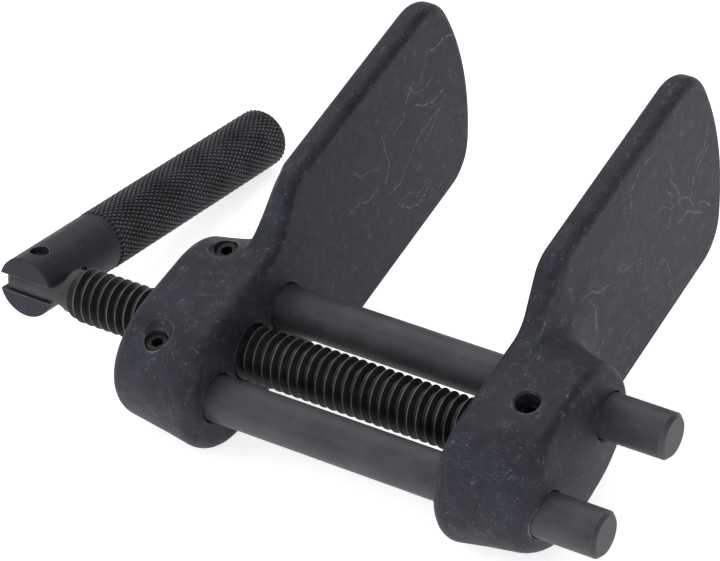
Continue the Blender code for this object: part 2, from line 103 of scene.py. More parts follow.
# Lead screw, with a right-hand 60 degree thread
THREAD_PITCH = 2.65 * MM
THREAD_RADIUS = 7.2 * MM
THREAD_ROOT = 5.77 * MM
THREAD_START = -53.6 * MM
THREAD_INSIDE_JAW = 3.4 * MM
THREAD_STEPS = 72
THREAD_CREST_EDGE = 0.13 * MM
SCREW_GAP = 0.25 * MM
SHANK_RADIUS = 5.8 * MM
TONGUE_THICKNESS = 4.0 * MM
TONGUE_RUNOUT = 1.5 * MM
TONGUE_END_REACH = 7.2 * MM
TONGUE_CORNER = 2.4 * MM
TONGUE_NECK = 1.9 * MM
TONGUE_EDGE = 0.15 * MM
SHOULDER_LENGTH = 0.7 * MM
SHOULDER_STEP = 0.1 * MM
SHOULDER_OVERLAP = 0.2 * MM
JOURNAL_OVERLAP = 0.5 * MM
JOURNAL_CHAMFER = 0.8 * MM
JOURNAL_RADIUS = 5.5 * MM
JOURNAL_END = 20.6 * MM

# Grub screws
GRUB_RADIUS = 3.0 * MM
GRUB_SOCKET_FLATS = 3.0 * MM
GRUB_SOCKET_DEPTH = 3.0 * MM
GRUB_LENGTH = 8.4 * MM
GRUB_RECESS = 1.7 * MM
GRUB_GAP = 0.12 * MM
GRUB_POINT_CHAMFER = 0.5 * MM
GRUB_EDGE = 0.4 * MM
DOG_RADIUS = 1.9 * MM
SET_SCREW_DOG = 0.05 * MM
RETAINER_DOG = 1.6 * MM
GRUB_PLACE = 14.3 * MM
RETAINER_PLACE = 13.8 * MM
RETAINER_DEPTH = 3.6 * MM
HOLE_CHAMFER = 0.55 * MM
HOLE_BOTTOM = 0.5 * MM

# Handle
HANDLE_RADIUS = 8.25 * MM
KNURL_RADIUS = 8.4 * MM
KNURL_START = 24.0 * MM
KNURL_STEP = 0.5 * MM
KNURL_AROUND = 38
KNURL_PITCH = 2.4 * MM
KNURL_DEPTH = 0.65 * MM
KNURL_LAND = 0.34
HANDLE_NEAR_END = -6.3 * MM
HANDLE_FAR_END = 102.6 * MM
HANDLE_EDGE = 0.5 * MM
KNURL_CHAMFER = 0.25 * MM
CLEVIS_ROUNDING = 0.35 * MM
CLEVIS_EDGE = 0.18 * MM
SLOT_DEPTH = 9.6 * MM
SLOT_GAP = 0.3 * MM
PIN_RADIUS = 2.5 * MM
PIN_LENGTH = 13.2 * MM
PIN_CHAMFER = 0.3 * MM
PIN_GAP = 0.12 * MM

# Fineness
ROUND_STEPS = 96
SMALL_ROUND_STEPS = 48
HEXAGON = 6
SMOOTH_ANGLE = math.radians(34.0)
SPARE = 6.0 * MM
NOSE_POINTS = 40
FLAT_POINTS = 4
NECK_POINTS = 14
SIDE_POINTS = 12
CORNER_POINTS = 20
END_POINTS = 12
LEVELS = 9
CAP_INSETS = (3.0 * MM, 6.0 * MM, 9.0 * MM)
CAP_STRIPS = 12
MERGE_DISTANCE = 0.002 * MM
FLAT_END_MARGIN = 6.0 * MM

# Mesh attribute with each vertex's place in the piece's own frame, which the materials read
OWN_PLACE = "own_place"


# ---------------------------------------------------------------- places read from the frame

def box_middle(node):
    low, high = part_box(node)
    return (low + high) / 2


front_rod = box_middle("guide_rod_front")
rear_rod = box_middle("guide_rod_rear")
across = Vector((0.0, rear_rod.y - front_rod.y, rear_rod.z - front_rod.z))
ROD_SPACING = across.length
ROD_RADIUS = (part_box("guide_rod_front")[1].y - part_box("guide_rod_front")[0].y) / 2
TILT = math.atan2(across.z, across.y)
INNER_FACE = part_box("fixed_jaw")[1].x
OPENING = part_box("sliding_jaw")[0].x - INNER_FACE

joints = {joint["name"]: joint for joint in frame["joints"]}
fold_axis = Vector(joints["handle_fold"]["axis"])
SCREW_TURN = math.atan2(-fold_axis.y, fold_axis.z) - TILT
PIVOT_X = joints["handle_fold"]["pos_m"][0] - INNER_FACE

origin = Vector((INNER_FACE, (front_rod.y + rear_rod.y) / 2, (front_rod.z + rear_rod.z) / 2))
TOOL = Matrix.Translation(origin) @ Matrix.Rotation(TILT, 4, "X")
SLIDE = TOOL @ Matrix.Translation((OPENING, 0.0, 0.0))
SCREW = TOOL @ Matrix.Rotation(SCREW_TURN, 4, "X")
HANDLE = SCREW @ Matrix.Translation((PIVOT_X, 0.0, 0.0)) @ Matrix.Rotation(math.pi / 2, 4, "Z")


# ---------------------------------------------------------------- mesh helpers

def mesh_of(name, verts, faces):
    mesh = bpy.data.meshes.new(name)
    mesh.from_pydata([tuple(vert) for vert in verts], [], faces)
    bm = bmesh.new()
    bm.from_mesh(mesh)
    bmesh.ops.remove_doubles(bm, verts=bm.verts, dist=MERGE_DISTANCE)
    bmesh.ops.recalc_face_normals(bm, faces=bm.faces)
    bm.to_mesh(mesh)
    bm.free()
    return mesh


def turned(name, profile, axis="X", steps=ROUND_STEPS):
    """Spin a profile of (place along the axis, radius) pairs into a closed solid."""
    angles = [2 * math.pi * step / steps for step in range(steps)]
    verts = []
    for place, radius in profile:
        for angle in angles:
            one, two = radius * math.cos(angle), radius * math.sin(angle)
            verts.append((place, one, two) if axis == "X" else (one, two, place))
    faces = []
    for ring in range(len(profile) - 1):
        for step in range(steps):
            after = (step + 1) % steps
            low, high = ring * steps, (ring + 1) * steps
            faces.append((low + step, low + after, high + after, high + step))
    faces.append(tuple(range(steps)))
    faces.append(tuple(range((len(profile) - 1) * steps, len(profile) * steps)))
    return mesh_of(name, verts, faces)


def rounded_end(place, radius, edge, points):
    """Profile points of a rounded outer edge at the low end of an axis."""
    made = []
    for step in range(points + 1):
        angle = math.pi / 2 * step / points
        along = place + edge * (1 - math.cos(angle))
        made.append((along, radius - edge * (1 - math.sin(angle))))
    return made


def slab(name, low, high):
    bm = bmesh.new()
    bmesh.ops.create_cube(bm, size=1.0)
    bmesh.ops.scale(bm, verts=bm.verts, vec=Vector(high) - Vector(low))
    bmesh.ops.translate(bm, verts=bm.verts, vec=(Vector(low) + Vector(high)) / 2)
    mesh = bpy.data.meshes.new(name)
    bm.to_mesh(mesh)
    bm.free()
    return mesh


def moved(mesh, place):
    mesh.transform(Matrix.Translation(place))
    return mesh


def piece(mesh, matrix, material, body, slot, *nodes):
    """Put a mesh into the scene as a finished piece that rides on a CAD body."""
    places = np.zeros(len(mesh.vertices) * 3, np.float32)
    mesh.vertices.foreach_get("co", places)
    mesh.attributes.new(OWN_PLACE, "FLOAT_VECTOR", "POINT").data.foreach_set("vector", places)
    mesh.transform(matrix)
    obj = bpy.data.objects.new(mesh.name, mesh)
    bpy.context.scene.collection.objects.link(obj)
    mesh.materials.clear()
    mesh.materials.append(material)
    mesh.shade_smooth()
    mesh.set_sharp_from_angle(angle=SMOOTH_ANGLE)
    weighted = obj.modifiers.new("even_normals", "WEIGHTED_NORMAL")
    weighted.keep_sharp = True
    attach(obj, body)
    if nodes:
        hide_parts(*nodes)


def carved(mesh, cutters, edge=0.0):
    """The mesh with cutters taken out of it, and its sharp edges broken by a small bevel."""
    scene = bpy.context.scene
    name = mesh.name
    body = bpy.data.objects.new(name, mesh)
    scene.collection.objects.link(body)
    tools = []
    for cutter in cutters:
        tool = bpy.data.objects.new(cutter.name, cutter)
        scene.collection.objects.link(tool)
        tools.append(tool)
        cut = body.modifiers.new(cutter.name, "BOOLEAN")
        cut.operation = "DIFFERENCE"
        cut.solver = "MANIFOLD"
        cut.object = tool
    if edge > 0:
        bevel = body.modifiers.new("broken_edges", "BEVEL")
        bevel.width = edge
        bevel.segments = 2
        bevel.limit_method = "ANGLE"
        bevel.angle_limit = SMOOTH_ANGLE
    depsgraph = bpy.context.evaluated_depsgraph_get()
    result = bpy.data.meshes.new_from_object(body.evaluated_get(depsgraph))
    for obj in (body, *tools):
        bpy.data.objects.remove(obj)
    bpy.data.meshes.remove(mesh)
    result.name = name
    return result


# ---------------------------------------------------------------- jaws

def arc(centre, radius, start, end, count):
    angles = np.radians(np.linspace(start, end, count))
    return np.column_stack((centre[0] + radius * np.cos(angles), centre[1] + radius * np.sin(angles)))


def straight(start, end, count):
    """Points between two ends, without the ends."""
    return np.linspace(start, end, count + 2)[1:-1]


def nose_and_flat():
    nose = arc((FRONT_NOSE_CENTRE, 0.0), BLOCK_HALF_HEIGHT, 180.0, 90.0, NOSE_POINTS)
    flat_start = (FRONT_NOSE_CENTRE + FLAT_END_MARGIN, BLOCK_HALF_HEIGHT)
    flat_end = (REAR_NOSE_CENTRE - FLAT_END_MARGIN, BLOCK_HALF_HEIGHT)
    return np.vstack((nose, [flat_start], straight(flat_start, flat_end, FLAT_POINTS), [flat_end]))


def blade_side(rise):
    """Half of the outline that holds the blade; rise is where the tip's arc is centred."""
    eighth_turn = math.tan(math.radians(22.5))
    fillet_y = NECK_START - NECK_FILLET * eighth_turn
    climb = BLADE_HALF_WIDTH - BLOCK_HALF_HEIGHT
    shoulder_y = NECK_START + climb + NECK_SHOULDER * eighth_turn
    tip_centre = BLADE_TIP - TIP_RADIUS
    corner_z = BLADE_HALF_WIDTH - CORNER_RADIUS
    corner_y = tip_centre + math.sqrt((TIP_RADIUS - CORNER_RADIUS) ** 2 - (corner_z - rise) ** 2)
    tip_angle = math.degrees(math.atan2(corner_z - rise, corner_y - tip_centre))
    middle_angle = math.degrees(math.asin(-rise / TIP_RADIUS))
    shoulder_end = (shoulder_y, BLADE_HALF_WIDTH)
    corner_start = (corner_y, BLADE_HALF_WIDTH)
    return np.vstack((
        nose_and_flat(),
        arc((fillet_y, BLOCK_HALF_HEIGHT + NECK_FILLET), NECK_FILLET, -90.0, -45.0, NECK_POINTS),
        arc((shoulder_y, BLADE_HALF_WIDTH - NECK_SHOULDER), NECK_SHOULDER, 135.0, 90.0, NECK_POINTS),
        straight(shoulder_end, corner_start, SIDE_POINTS),
        arc((corner_y, corner_z), CORNER_RADIUS, 90.0, tip_angle, CORNER_POINTS),
        arc((tip_centre, rise), TIP_RADIUS, tip_angle, middle_angle, END_POINTS)[1:],
    ))


def block_side():
    """Half of the block's own outline, with as many points as blade_side."""
    count = 2 * NECK_POINTS + SIDE_POINTS + CORNER_POINTS + END_POINTS - 1
    rear = arc((REAR_NOSE_CENTRE, 0.0), BLOCK_HALF_HEIGHT, 90.0, 0.0, count)
    return np.vstack((nose_and_flat(), rear))


def closed(upper, lower):
    return np.vstack((upper, lower[-2:0:-1] * (1.0, -1.0)))


def inward(loop):
    along = np.roll(loop, -1, axis=0) - np.roll(loop, 1, axis=0)
    along /= np.linalg.norm(along, axis=1, keepdims=True)
    return np.column_stack((along[:, 1], -along[:, 0]))


def blend(values, low, high):
    part = np.clip((values - low) / (high - low), 0.0, 1.0)
    return part * part * (3 - 2 * part)


def placed(loop, depth, inset, taper):
    """Points (depth, y, z) of an outline moved inward by inset, then along y by the taper."""
    shifted = loop + inward(loop) * np.reshape(inset, (-1, 1))
    depth = depth + np.zeros(len(loop))
    return np.column_stack((depth, shifted[:, 0] + taper * depth, shifted[:, 1]))


def crowned(loop):
    """Bulge a loop of the outer face toward the middle height, and slope it along y."""
    share = np.clip((loop[:, 0] - BLADE_THICKNESS) / (BLOCK_THICKNESS - BLADE_THICKNESS), 0.0, 1.0)
    bulge = BLOCK_CROWN * (1 - (loop[:, 2] / BLOCK_HALF_HEIGHT) ** 2)
    loop[:, 0] += bulge - BLOCK_SLOPE * loop[:, 1] * share
    return loop


def jaw_levels(nose_taper, nose_rounding):
    """The jaw as loops of (depth, y, z) points, from its inner face to its outer face."""
    blade = closed(blade_side(TIP_RISE), blade_side(-TIP_RISE))
    block = closed(block_side(), block_side())
    front = np.clip((FRONT_NOSE_CENTRE - block[:, 0]) / BLOCK_HALF_HEIGHT, 0.0, 1.0)
    rear = np.clip((block[:, 0] - REAR_NOSE_CENTRE) / BLOCK_HALF_HEIGHT, 0.0, 1.0)
    on_blade = blend(blade[:, 0], NECK_START - ROOT_BLEND_BEFORE, NECK_START + ROOT_BLEND_AFTER)
    on_front = blade[:, 0] <= FRONT_NOSE_CENTRE + MERGE_DISTANCE
    on_rear = block[:, 0] >= REAR_NOSE_CENTRE - MERGE_DISTANCE
    blade_taper = nose_taper * on_front
    block_taper = nose_taper * on_front - REAR_TAPER * on_rear
    inner = INNER_ROUNDING + (INNER_NOSE_ROUNDING - INNER_ROUNDING) * front
    inner += (BLADE_ROUNDING - inner) * on_blade
    outer = OUTER_ROUNDING + (nose_rounding - OUTER_ROUNDING) * front
    angles = np.linspace(0.0, math.pi / 2, LEVELS)

    levels = []
    for angle in angles:
        depth = inner * (1 - math.cos(angle))
        levels.append(placed(blade, depth, inner * (1 - math.sin(angle)), blade_taper))
    for angle in angles:
        depth = BLADE_THICKNESS - BLADE_ROUNDING * (1 - math.sin(angle))
        inset = BLADE_ROUNDING * (1 - math.cos(angle)) * on_blade
        levels.append(placed(blade, depth, inset, blade_taper))
    for angle in angles:
        depth = BLADE_THICKNESS + ROOT_FILLET * (1 - math.cos(angle)) + HAIRLINE * (angle == 0.0)
        inset = -ROOT_FILLET * (1 - math.sin(angle)) * rear
        levels.append(placed(block, depth, inset, block_taper))
    for angle in angles:
        depth = BLOCK_THICKNESS - outer * (1 - math.sin(angle))
        levels.append(crowned(placed(block, depth, outer * (1 - math.cos(angle)), block_taper)))
    for extra in CAP_INSETS:
        levels.append(crowned(placed(block, BLOCK_THICKNESS, outer + extra, block_taper)))
    return levels


def outer_cap(last):
    """Rows of points that span the last loop from its upper half to its lower half."""
    count = len(last)
    half = count // 2 + 1
    rows = []
    for index in range(half):
        upper, lower = last[index], last[(count - index) % count]
        share = np.linspace(0.0, 1.0, CAP_STRIPS + 1)[:, None]
        row = upper + (lower - upper) * share
        flat = upper[0] - BLOCK_CROWN * (1 - (upper[2] / BLOCK_HALF_HEIGHT) ** 2)
        row[:, 0] = flat + BLOCK_CROWN * (1 - (row[:, 2] / BLOCK_HALF_HEIGHT) ** 2)
        rows.append(row)
    return rows


def soften_root(mesh):
    """Smooth the forging where the block runs out into the blade."""
    bm = bmesh.new()
    bm.from_mesh(mesh)
    chosen = []
    for vert in bm.verts:
        depth, y = abs(vert.co.x), vert.co.y
        if ROOT_LOW_DEPTH < depth < ROOT_HIGH_DEPTH and ROOT_START < y < ROOT_END:
            chosen.append(vert)
    every_axis = {"use_axis_x": True, "use_axis_y": True, "use_axis_z": True}
    for turn in range(ROOT_SMOOTHING):
        bmesh.ops.smooth_vert(bm, verts=chosen, factor=0.5, **every_axis)
    bm.to_mesh(mesh)
    bm.free()


def jaw_mesh(name, direction, nose_taper, nose_rounding):
    levels = jaw_levels(nose_taper, nose_rounding)
    verts = []
    faces = []
    count = len(levels[0])
    for loop in levels:
        verts += [(direction * depth, y, z) for depth, y, z in loop]
    for level in range(len(levels) - 1):
        for index in range(count):
            after = (index + 1) % count
            low, high = level * count, (level + 1) * count
            faces.append((low + index, low + after, high + after, high + index))
    faces.append(tuple(range(count)))
    start = len(verts)
    rows = outer_cap(levels[-1])
    width = CAP_STRIPS + 1
    for row in rows:
        verts += [(direction * depth, y, z) for depth, y, z in row]
    for index in range(1, len(rows) - 2):
        for strip in range(CAP_STRIPS):
            here = start + index * width + strip
            faces.append((here, here + 1, here + width + 1, here + width))
    for end, beside in ((0, 1), (len(rows) - 1, len(rows) - 2)):
        tip = start + end * width
        for strip in range(CAP_STRIPS):
            here = start + beside * width + strip
            faces.append((tip, here, here + 1))
    mesh = mesh_of(name, verts, faces)
    soften_root(mesh)
    return mesh


def bore(name, radius, mouth, centre):
    """Cutter along X from the inner face to mouth, with a chamfer at both of its ends."""
    way = 1 if mouth > 0 else -1
    wide = radius + BORE_CHAMFER + SPARE
    profile = [(-way * SPARE, wide), (way * BORE_CHAMFER, radius)]
    profile += [(mouth - way * BORE_CHAMFER, radius), (mouth + way * SPARE, wide)]
    return moved(turned(name, profile), (0.0, centre, 0.0))


def tapped_hole(name, place, top):
    """Cutter for a grub screw's hole, from near the rods' plane up to a chamfered mouth."""
    radius = GRUB_RADIUS + GRUB_GAP
    profile = [(HOLE_BOTTOM, radius), (top - HOLE_CHAMFER, radius)]
    profile.append((top + SPARE, radius + HOLE_CHAMFER + SPARE))
    return moved(turned(name, profile, "Z", SMALL_ROUND_STEPS), place)


def surface_height(depth, y):
    """Height of the fixed block's upper surface above the rods' plane."""
    front = FRONT_NOSE_CENTRE + FIXED_NOSE_TAPER * depth
    rear = REAR_NOSE_CENTRE - REAR_TAPER * depth
    past_flat = max(front - y, y - rear, 0.0)
    return math.sqrt(BLOCK_HALF_HEIGHT**2 - past_flat**2)


def rod_bores(direction):
    """Bores through a jaw, with a chamfered mouth on each face."""
    made = []
    for side, label in ((-1, "front"), (1, "rear")):
        centre = side * ROD_SPACING / 2
        mouth = direction * (BLOCK_THICKNESS + BLOCK_CROWN - BLOCK_SLOPE * centre)
        made.append(bore(f"bore_{label}", ROD_RADIUS + BORE_GAP, mouth, centre))
    return made


def build_fixed_jaw(material):
    mesh = jaw_mesh("fixed_jaw_forging", -1, FIXED_NOSE_TAPER, FIXED_NOSE_ROUNDING)
    cutters = rod_bores(-1)
    cutters.append(bore("nut", THREAD_RADIUS + SCREW_GAP, -BLOCK_THICKNESS - BLOCK_CROWN, 0.0))
    for side, label in ((-1, "front"), (1, "rear")):
        centre = side * ROD_SPACING / 2
        top = surface_height(GRUB_PLACE, centre)
        cutters.append(tapped_hole(f"grub_hole_{label}", (-GRUB_PLACE, centre, 0.0), top))
    piece(carved(mesh, cutters), TOOL, material, "frame", "forged_steel", "fixed_jaw")


def build_sliding_jaw(material):
    mesh = jaw_mesh("sliding_jaw_forging", 1, SLIDING_NOSE_TAPER, SLIDING_NOSE_ROUNDING)
    step = THREAD_INSIDE_JAW + SCREW_GAP
    wide, narrow = THREAD_RADIUS + SCREW_GAP, JOURNAL_RADIUS + BORE_GAP
    profile = [(-SPARE, wide + BORE_CHAMFER + SPARE), (BORE_CHAMFER, wide), (step, wide)]
    profile += [(step, narrow), (JOURNAL_END + SCREW_GAP, narrow)]
    cutters = rod_bores(1)
    cutters.append(turned("journal_bore", profile))
    hole_place = (RETAINER_PLACE, 0.0, 0.0)
    cutters.append(tapped_hole("retainer_hole", hole_place, BLOCK_HALF_HEIGHT))
    piece(carved(mesh, cutters), SLIDE, material, "slider", "forged_steel", "sliding_jaw")


# ---------------------------------------------------------------- rods and grub screws

def build_rods(material):
    for side, label in ((-1, "front"), (1, "rear")):
        low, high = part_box(f"guide_rod_{label}")
        start, end = low.x - INNER_FACE, high.x - INNER_FACE
        narrow = ROD_RADIUS - ROD_CHAMFER
        profile = [(start, narrow), (start + ROD_CHAMFER, ROD_RADIUS), (end - ROD_CHAMFER, ROD_RADIUS)]
        profile += [(end - ROD_END_EDGE, narrow + ROD_END_EDGE), (end, narrow - ROD_END_LIP)]
        mesh = moved(turned(f"guide_rod_{label}_bar", profile), (0.0, side * ROD_SPACING / 2, 0.0))
        piece(mesh, TOOL, material, "frame", "rod_steel", f"guide_rod_{label}")


def grub_mesh(name, place, dog_length):
    """Socket grub screw with its top at place, its point downward and a dog on the point."""
    profile = [(-GRUB_LENGTH - dog_length, DOG_RADIUS), (-GRUB_LENGTH, DOG_RADIUS)]
    profile.append((-GRUB_LENGTH + HAIRLINE, GRUB_RADIUS - GRUB_POINT_CHAMFER))
    profile.append((-GRUB_LENGTH + GRUB_POINT_CHAMFER, GRUB_RADIUS))
    profile += [(-GRUB_EDGE, GRUB_RADIUS), (0.0, GRUB_RADIUS - GRUB_EDGE)]
    across_corners = GRUB_SOCKET_FLATS / math.cos(math.pi / HEXAGON)
    socket_profile = [(-GRUB_SOCKET_DEPTH, across_corners / 2), (SPARE, across_corners / 2)]
    socket = turned("socket", socket_profile, "Z", HEXAGON)
    return moved(carved(turned(name, profile, "Z", SMALL_ROUND_STEPS), [socket]), place)


def build_grub_screws(material):
    for side, label in ((-1, "front"), (1, "rear")):
        centre = side * ROD_SPACING / 2
        top = surface_height(GRUB_PLACE, centre) - GRUB_RECESS
        mesh = grub_mesh(f"set_screw_{label}", (-GRUB_PLACE, centre, top), SET_SCREW_DOG)
        piece(mesh, TOOL, material, "frame", "fastener_steel", f"rod_set_screw_{label}")
    top = BLOCK_HALF_HEIGHT - RETAINER_DEPTH
    mesh = grub_mesh("retaining_screw", (RETAINER_PLACE, 0.0, top), RETAINER_DOG)
    piece(mesh, SLIDE, material, "slider", "fastener_steel", "screw_retainer")


# ---------------------------------------------------------------- lead screw

THREAD_SHAPE = (
    (0.0, THREAD_ROOT),
    (0.25, THREAD_ROOT),
    (0.555, THREAD_RADIUS - THREAD_CREST_EDGE),
    (0.585, THREAD_RADIUS),
    (0.665, THREAD_RADIUS),
    (0.695, THREAD_RADIUS - THREAD_CREST_EDGE),
)


def thread_radius(x, angle):
    phase = ((x - THREAD_START) / THREAD_PITCH - angle / (2 * math.pi)) % 1.0
    places = [place for place, radius in THREAD_SHAPE] + [1.0]
    radii = [radius for place, radius in THREAD_SHAPE] + [THREAD_ROOT]
    return float(np.interp(phase, places, radii))


def thread_mesh(name, start, end):
    """Strips that follow the helix, cut square at both ends and chamfered there."""
    per_turn = len(THREAD_SHAPE)
    turns = int((end - start) / THREAD_PITCH) + 3
    verts = []
    for strip in range(turns * per_turn):
        place = strip // per_turn - 1 + THREAD_SHAPE[strip % per_turn][0]
        for step in range(THREAD_STEPS):
            angle = 2 * math.pi * step / THREAD_STEPS
            x = start + THREAD_PITCH * (place + step / THREAD_STEPS)
            x = min(max(x, start), end)
            radius = thread_radius(x, angle)
            radius = min(radius, SHANK_RADIUS + (x - start), SHANK_RADIUS + (end - x))
            verts.append((x, radius * math.cos(angle), radius * math.sin(angle)))
    faces = []
    for strip in range((turns - 1) * per_turn - 1):
        for step in range(THREAD_STEPS):
            low = strip * THREAD_STEPS + step
            high = low + THREAD_STEPS
            if step + 1 < THREAD_STEPS:
                faces.append((low, low + 1, high + 1, high))
            else:
                wrap = (strip + per_turn) * THREAD_STEPS
                faces.append((low, wrap, wrap + THREAD_STEPS, high))
    mesh = mesh_of(name, verts, faces)
    bm = bmesh.new()
    bm.from_mesh(mesh)
    bmesh.ops.dissolve_degenerate(bm, edges=bm.edges, dist=MERGE_DISTANCE)
    edges = [edge for edge in bm.edges if edge.is_boundary]
    bmesh.ops.holes_fill(bm, edges=edges, sides=0)
    loose = [vert for vert in bm.verts if not vert.link_faces]
    bmesh.ops.delete(bm, geom=loose, context="VERTS")
    bmesh.ops.recalc_face_normals(bm, faces=bm.faces)
    bm.to_mesh(mesh)
    bm.free()
    return mesh


def pin_hole(name, reach):
    """Cutter for the handle pin, along Z through the origin."""
    radius = PIN_RADIUS + PIN_GAP
    return turned(name, [(-reach, radius), (reach, radius)], "Z", SMALL_ROUND_STEPS)


def runout_slab(name, low, high, edge_x, edge_z):
    """A milling cut whose inner edge is rounded where it runs out toward the thread."""
    mesh = slab(name, low, high)
    bm = bmesh.new()
    bm.from_mesh(mesh)
    near = MERGE_DISTANCE
    corner = set()
    for vert in bm.verts:
        if abs(vert.co.x - edge_x) < near and abs(vert.co.z - edge_z) < near:
            corner.add(vert)
    edges = [edge for edge in bm.edges if corner.issuperset(edge.verts)]
    bmesh.ops.bevel(bm, geom=edges, offset=TONGUE_RUNOUT, segments=10, profile=0.5, affect="EDGES")
    bm.to_mesh(mesh)
    bm.free()
    return mesh


def build_lead_screw(thread_material, tongue_material):
    thread_end = OPENING + THREAD_INSIDE_JAW
    mesh = thread_mesh("lead_screw_thread", THREAD_START, thread_end)
    piece(mesh, SCREW, thread_material, "screw", "screw_steel", "lead_screw")

    tongue_end = PIVOT_X - TONGUE_END_REACH
    neck = THREAD_START - TONGUE_NECK
    profile = rounded_end(tongue_end, SHANK_RADIUS, TONGUE_CORNER, 12)
    profile += [(neck, SHANK_RADIUS), (THREAD_START - SHOULDER_LENGTH, SHANK_RADIUS)]
    profile.append((THREAD_START - SHOULDER_STEP, SHANK_RADIUS + SHOULDER_STEP))
    profile.append((THREAD_START + SHOULDER_OVERLAP, THREAD_ROOT))
    reach = SHANK_RADIUS + SPARE
    cutters = []
    for side, label in ((-1, "lower"), (1, "upper")):
        face = side * TONGUE_THICKNESS / 2
        low = (tongue_end - SPARE, -reach, min(face, side * reach))
        high = (neck, reach, max(face, side * reach))
        cutters.append(runout_slab(f"flat_{label}", low, high, neck, face))
    cutters.append(moved(pin_hole("tongue_hole", reach), (PIVOT_X, 0.0, 0.0)))
    mesh = carved(turned("lead_screw_tongue", profile), cutters, TONGUE_EDGE)
    piece(mesh, SCREW, tongue_material, "screw", "screw_steel")

    end = OPENING + JOURNAL_END
    profile = [(thread_end - JOURNAL_OVERLAP, JOURNAL_RADIUS), (end - JOURNAL_CHAMFER, JOURNAL_RADIUS)]
    profile.append((end, JOURNAL_RADIUS - JOURNAL_CHAMFER))
    piece(turned("lead_screw_journal", profile), SCREW, tongue_material, "screw", "screw_steel")


# ---------------------------------------------------------------- handle

def knurl_mesh(name, start, end):
    """A tube of small pyramids with flat tops, on two crossing families of helices."""
    half_around = 2 * KNURL_AROUND
    rows = 2 * round((end - start) / KNURL_PITCH)
    row_step = (end - start) / rows
    root = KNURL_RADIUS - KNURL_DEPTH
    verts = []
    place_of = {}

    def corner(column, row):
        key = (column % half_around, row)
        if key not in place_of:
            angle = math.pi * key[0] / KNURL_AROUND
            place_of[key] = len(verts)
            verts.append((start + row * row_step, root * math.cos(angle), root * math.sin(angle)))
        return place_of[key]

    def top(column, row, across_share, along_share):
        angle = math.pi * (column + across_share) / KNURL_AROUND
        x = start + (row + along_share) * row_step
        verts.append((x, KNURL_RADIUS * math.cos(angle), KNURL_RADIUS * math.sin(angle)))
        return len(verts) - 1

    faces = []
    for row in range(rows + 1):
        for column in range(half_around):
            if (row + column) % 2 == 0:
                continue
            around = ((-1, 0), (0, -1), (1, 0), (0, 1))
            if row in (0, rows):
                inner = 1 if row == 0 else -1
                near = (corner(column - 1, row), corner(column + 1, row), corner(column, row + inner))
                faces.append(near)
                continue
            low = [corner(column + one, row + two) for one, two in around]
            high = [top(column, row, one * KNURL_LAND, two * KNURL_LAND) for one, two in around]
            for index in range(4):
                after = (index + 1) % 4
                faces.append((low[index], low[after], high[after], high[index]))
            faces.append(tuple(high))
    first = [corner(column, 0) for column in range(0, half_around, 2)]
    last = [corner(column, rows) for column in range(rows % 2, half_around, 2)]
    ends = ((first, start - KNURL_STEP, 0.0), (last, end + HANDLE_EDGE, HANDLE_EDGE))
    for ring, x_out, shrink in ends:
        outer_ring = []
        for index in ring:
            x, y, z = verts[index]
            scale = (root - shrink) / root
            outer_ring.append(len(verts))
            verts.append((x_out, y * scale, z * scale))
        for index in range(len(ring)):
            after = (index + 1) % len(ring)
            faces.append((ring[index], ring[after], outer_ring[after], outer_ring[index]))
        faces.append(tuple(outer_ring))
    return mesh_of(name, verts, faces)


def build_handle(smooth_material, knurl_material, pin_material):
    profile = rounded_end(HANDLE_NEAR_END, HANDLE_RADIUS, CLEVIS_ROUNDING, 6)
    profile.append((KNURL_START - KNURL_CHAMFER, HANDLE_RADIUS))
    profile.append((KNURL_START, HANDLE_RADIUS - KNURL_CHAMFER))
    half_slot = TONGUE_THICKNESS / 2 + SLOT_GAP
    reach = HANDLE_RADIUS + SPARE
    low = (HANDLE_NEAR_END - SPARE, -reach, -half_slot)
    cutters = [slab("slot", low, (SLOT_DEPTH, reach, half_slot))]
    cutters.append(pin_hole("pin_hole", reach))
    mesh = carved(turned("handle_clevis", profile), cutters, CLEVIS_EDGE)
    piece(mesh, HANDLE, smooth_material, "crank", "handle_steel", "handle")

    mesh = knurl_mesh("handle_knurl", KNURL_START + KNURL_STEP, HANDLE_FAR_END - HANDLE_EDGE)
    piece(mesh, HANDLE, knurl_material, "crank", "handle_steel")

    half = PIN_LENGTH / 2
    profile = [(-half, PIN_RADIUS - PIN_CHAMFER), (-half + PIN_CHAMFER, PIN_RADIUS)]
    profile += [(half - PIN_CHAMFER, PIN_RADIUS), (half, PIN_RADIUS - PIN_CHAMFER)]
    mesh = turned("handle_pivot_pin", profile, "Z", SMALL_ROUND_STEPS)
    piece(mesh, HANDLE, pin_material, "crank", "fastener_steel", "handle_pin")


# ---------------------------------------------------------------- materials

FORGED_COLOUR = (0.0310, 0.0324, 0.0412)

# Scuffs on the blades; the bend is in radians
SCUFF_COUNT = 14
SCUFF_PARTS = 3
SCUFF_STEP = 5.0 * MM
SCUFF_BEND = 0.9
SCUFF_WAVE_LENGTH = 5.0 * MM
SCUFF_WAVER = 1.6 * MM
SCUFFS_START = 32.0 * MM
SCUFFS_REACH = 66.0 * MM
SCUFFS_HEIGHT = (-16.0 * MM, 20.0 * MM)
FIXED_SCUFFS_SEED = 3
SLIDING_SCUFFS_SEED = 8


